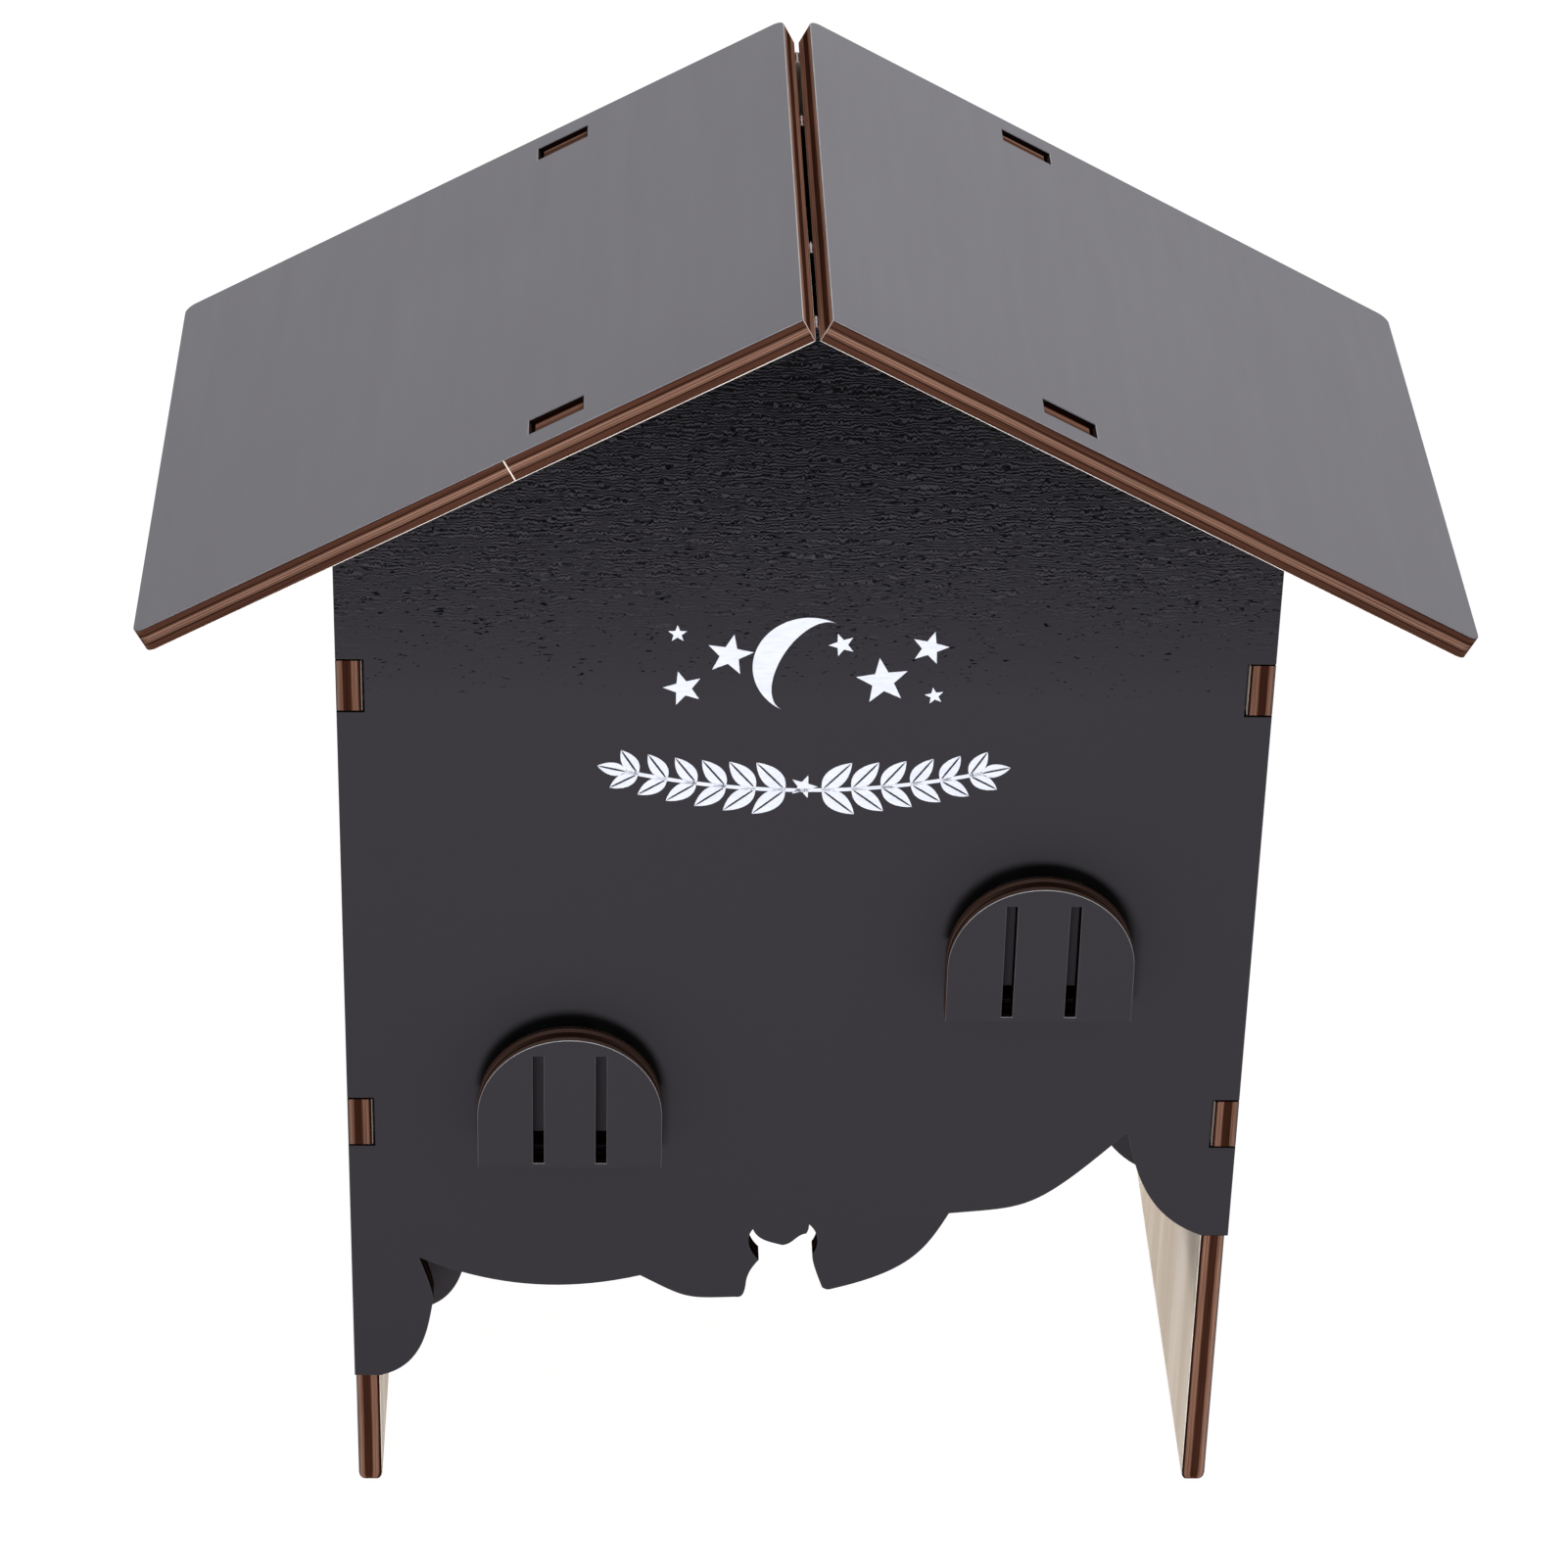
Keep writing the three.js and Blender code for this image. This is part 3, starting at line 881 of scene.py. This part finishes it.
def dressSheet(node, sheet):
    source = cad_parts[node].data
    axis = max(source.polygons, key=lambda polygon: polygon.area).normal.copy()
    if axis.dot(Vector(sheet["painted"])) < 0:
        axis.negate()
    bm = openSheet(source, axis)
    cutRims(bm, axis, sheet)
    layBurnAndShade(bm, sheet["burnAndShade"])
    top, thickness = layDepth(bm, axis)
    if sheet.get("foot"):
        roundFoot(bm, axis, top - thickness / 2, thickness / 2)
    for edge in bm.edges:
        zones = {face.material_index for face in edge.link_faces}
        edge.smooth = len(zones) == 1 and edge.calc_face_angle(pi) < sheetFinish["sharpOver"]
    mesh = bpy.data.meshes.new(node + "_sheet")
    bm.to_mesh(mesh)
    bm.free()
    for material in sheetMaterials(sheet):
        mesh.materials.append(material)
    layGrainAndWear(mesh, axis, sheet)
    addPiece(node + "_sheet", mesh, [node])


for node, sheet in sheets.items():
    dressSheet(node, sheet)
print("sheets dressed:", len(sheets))

# White print on the front panel: a crescent among stars, and a leafy sprig below it

printWork = {
    "panelFace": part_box("front_panel")[0].y,
    "sunk": 0.05 * mm,
    "proud": 0.12 * mm,
}
moon = {
    "place": (0.4 * mm, 204.3 * mm),
    "radius": 10.8 * mm,
    "hollow": 0.52,  # how far the inner curve bulges, as a share of the outer one
    "turn": radians(-28),
    "segments": 96,
}
starWork = {
    "points": 5,
    "waist": 0.42,
    "stars": [  # across, height and radius in mm, turn in degrees
        (14.6, 201.2, 5.2, 8),
        (23.4, 208.6, 3.7, -14),
        (-14.8, 206.8, 4.6, -10),
        (-23.6, 199.4, 3.9, 16),
        (6.6, 209.2, 2.6, 20),
        (-24.8, 211.4, 1.9, 0),
        (24.6, 198.0, 1.9, 10),
        (0.0, 177.4, 2.7, -18),
    ],
}
sprig = {
    "height": 176.6 * mm,
    "stemRadius": 150 * mm,
    "stemWidth": 0.8 * mm,
    "stemReach": radians(13.2),
    "stemSteps": 24,
    "leafPairs": 6,
    "leafSize": (8.4 * mm, 3.5 * mm),  # length, width
    "leafSegments": 40,
    "leafTaper": 0.25,
    "veinGap": 0.42 * mm,
    "firstLeaf": 0.62,  # in steps from one pair to the next
    "shrink": 0.05,  # of a pair's size, from pair to pair
    "lifts": (radians(46), radians(-42)),  # above and below the stem
    "tipSize": 0.7,
}


# A flat outline in x and y becomes a plate on the panel's face and joins the print
def layPlate(target, bm, across, height):
    raised = bmesh.ops.extrude_face_region(bm, geom=bm.faces[:])["geom"]
    raised = [item for item in raised if isinstance(item, bmesh.types.BMVert)]
    bmesh.ops.translate(bm, verts=raised, vec=(0, 0, printWork["sunk"] + printWork["proud"]))
    bmesh.ops.recalc_face_normals(bm, faces=bm.faces)
    bmesh.ops.rotate(bm, verts=bm.verts, matrix=Matrix.Rotation(pi / 2, 3, "X"))
    place = (across, printWork["panelFace"] + printWork["sunk"], height)
    bmesh.ops.translate(bm, verts=bm.verts, vec=place)
    mesh = bpy.data.meshes.new("part of the print")
    bm.to_mesh(mesh)
    bm.free()
    target.from_mesh(mesh)
    bpy.data.meshes.remove(mesh)


def makeMoon(target, setup):
    bm = bmesh.new()
    bmesh.ops.create_circle(bm, cap_ends=True, segments=setup["segments"], radius=setup["radius"])
    for vert in bm.verts:
        if vert.co.x > 0:
            vert.co.x *= -setup["hollow"]
    bmesh.ops.rotate(bm, verts=bm.verts, matrix=Matrix.Rotation(setup["turn"], 3, "Z"))
    layPlate(target, bm, *setup["place"])


def makeStar(target, setup, across, height, radius, turn):
    bm = bmesh.new()
    bmesh.ops.create_circle(bm, cap_ends=True, segments=2 * setup["points"], radius=radius * mm)
    for vert in bm.verts[:][1::2]:
        vert.co *= setup["waist"]
    bmesh.ops.rotate(bm, verts=bm.verts, matrix=Matrix.Rotation(radians(turn), 3, "Z"))
    layPlate(target, bm, across * mm, height * mm)


# A lens-shaped leaf in two halves beside its vein, with its foot at the place and its tip that way
def makeLeaf(target, setup, size, turn, place):
    length, width = (size * part for part in setup["leafSize"])
    for side in (-1, 1):
        bm = bmesh.new()
        bmesh.ops.create_circle(bm, cap_ends=True, segments=setup["leafSegments"], radius=1)
        for vert in bm.verts:
            bulge = max(1 - vert.co.x ** 2, 0) * (1 - setup["leafTaper"] * vert.co.x)
            across = bulge if vert.co.y * side > 1e-6 else 0.0
            gap = setup["veinGap"] / 2 * max(1 - vert.co.x ** 4, 0)
            vert.co.x = (vert.co.x + 1) * length / 2
            vert.co.y = side * (gap + across * width / 2)
        bmesh.ops.remove_doubles(bm, verts=bm.verts, dist=0.01 * mm)
        bmesh.ops.rotate(bm, verts=bm.verts, matrix=Matrix.Rotation(turn, 3, "Z"))
        layPlate(target, bm, *place)


def makeStem(target, setup, mirror):
    bm = bmesh.new()
    ends = [bm.verts.new((0, side * setup["stemWidth"] / 2 - setup["stemRadius"], 0)) for side in (1, -1)]
    start = bm.edges.new(ends)
    bmesh.ops.spin(bm, geom=[*ends, start], cent=(0, 0, 0), axis=(0, 0, 1), steps=setup["stemSteps"],
                   angle=mirror * setup["stemReach"])
    layPlate(target, bm, 0, setup["height"] + setup["stemRadius"])


# The place on a branch's stem at this angle, and the way a leaf turns there
def onStem(setup, mirror, angle, lift=0.0):
    foot = Matrix.Rotation(mirror * angle, 3, "Z") @ Vector((0, -setup["stemRadius"], 0))
    place = (foot.x, setup["height"] + setup["stemRadius"] + foot.y)
    return place, lift + angle if mirror > 0 else pi - lift - angle


def makeSprig(target, setup):
    for mirror in (-1, 1):
        makeStem(target, setup, mirror)
        for index in range(setup["leafPairs"]):
            angle = setup["stemReach"] * (index + setup["firstLeaf"]) / setup["leafPairs"]
            for lift in setup["lifts"]:
                place, turn = onStem(setup, mirror, angle, lift)
                makeLeaf(target, setup, 1 - setup["shrink"] * index, turn, place)
        place, turn = onStem(setup, mirror, setup["stemReach"])
        makeLeaf(target, setup, setup["tipSize"], turn, place)


printWhole = bmesh.new()
makeMoon(printWhole, moon)
for star in starWork["stars"]:
    makeStar(printWhole, starWork, *star)
makeSprig(printWhole, sprig)
printMesh = bpy.data.meshes.new("front_print")
printWhole.to_mesh(printMesh)
printWhole.free()
printMesh.materials.append(makeWhitePrint(whitePrint))
addPiece("front_print", printMesh)
print("print laid on the front panel")

# Floor, backdrop and light

studio = {
    "floorRadius": 9.0,
    "floorDrop": 0.1 * mm,  # below the legs, so that the two don't flicker
    "floorColour": (0.8, 0.8, 0.8, 1),
    "floorGlow": 0.92,  # share of the floor that the camera sees as plain white
    "glowStrength": 1.06,
    "skyLevel": 0.36,
}
lamps = {
    "overhead softbox": {"place": (0.33, 0.55, 1.6), "aim": (0, 0, 0.15), "size": (1.2, 1.2),
                         "watts": 15.1},
    "front softbox": {"place": (-0.1, -1.15, 0.27), "aim": (0, 0, 0.14), "size": (0.3, 0.2),
                      "watts": 8.1},
}
for side, across in (("left", -1), ("right", 1)):
    lamps[side + " back light"] = {"place": (0.75 * across, 0.75, 0.06), "aim": (-0.08 * across, 0, 0),
                                   "size": (0.3, 0.1), "watts": 0.15, "spread": radians(24)}


def addFloor():
    bm = bmesh.new()
    bmesh.ops.create_circle(bm, cap_ends=True, segments=96, radius=studio["floorRadius"])
    mesh = bpy.data.meshes.new("floor")
    bm.to_mesh(mesh)
    bm.free()
    material, tree, shader = newMaterial("pale floor", roughness=0.9)
    shader.inputs["Base Color"].default_value = studio["floorColour"]
    glowInputs = {"Color": (1, 1, 1, 1), "Strength": studio["glowStrength"]}
    glow = addNode(tree, "ShaderNodeEmission", glowInputs)
    seen = addNode(tree, "ShaderNodeLightPath").outputs["Is Camera Ray"]
    share = times(tree, seen, studio["floorGlow"])
    mix = addNode(tree, "ShaderNodeMixShader", {0: share, 1: shader.outputs[0], 2: glow.outputs[0]})
    tree.links.new(mix.outputs[0], tree.nodes["Material Output"].inputs["Surface"])
    mesh.materials.append(material)
    floor = bpy.data.objects.new("floor", mesh)
    floor.location.z = -studio["floorDrop"]
    bpy.context.collection.objects.link(floor)


def addSky():
    world = bpy.data.worlds.new("sky")
    world.use_nodes = True
    bpy.context.scene.world = world
    tree = world.node_tree
    path = addNode(tree, "ShaderNodeLightPath")
    seen = plus(tree, path.outputs["Is Camera Ray"], path.outputs["Is Glossy Ray"])
    seen = calc(tree, "ADD", seen, path.outputs["Is Transmission Ray"], clamp=True)
    level = remap(tree, seen, 0.0, 1.0, studio["skyLevel"], 1.0)
    tree.links.new(level, tree.nodes["Background"].inputs["Strength"])
    tree.nodes["Background"].inputs["Color"].default_value = (1, 1, 1, 1)


def addLamp(name, setup):
    data = bpy.data.lights.new(name, "AREA")
    data.shape = "RECTANGLE"
    data.size, data.size_y = setup["size"]
    data.energy = setup["watts"]
    data.spread = setup.get("spread", pi)
    lamp = bpy.data.objects.new(name, data)
    lamp.location = setup["place"]
    aim = Vector(setup["aim"]) - Vector(setup["place"])
    lamp.rotation_euler = aim.to_track_quat("-Z", "Y").to_euler()
    bpy.context.collection.objects.link(lamp)


addFloor()
addSky()
for name, setup in lamps.items():
    addLamp(name, setup)
print("studio lit")
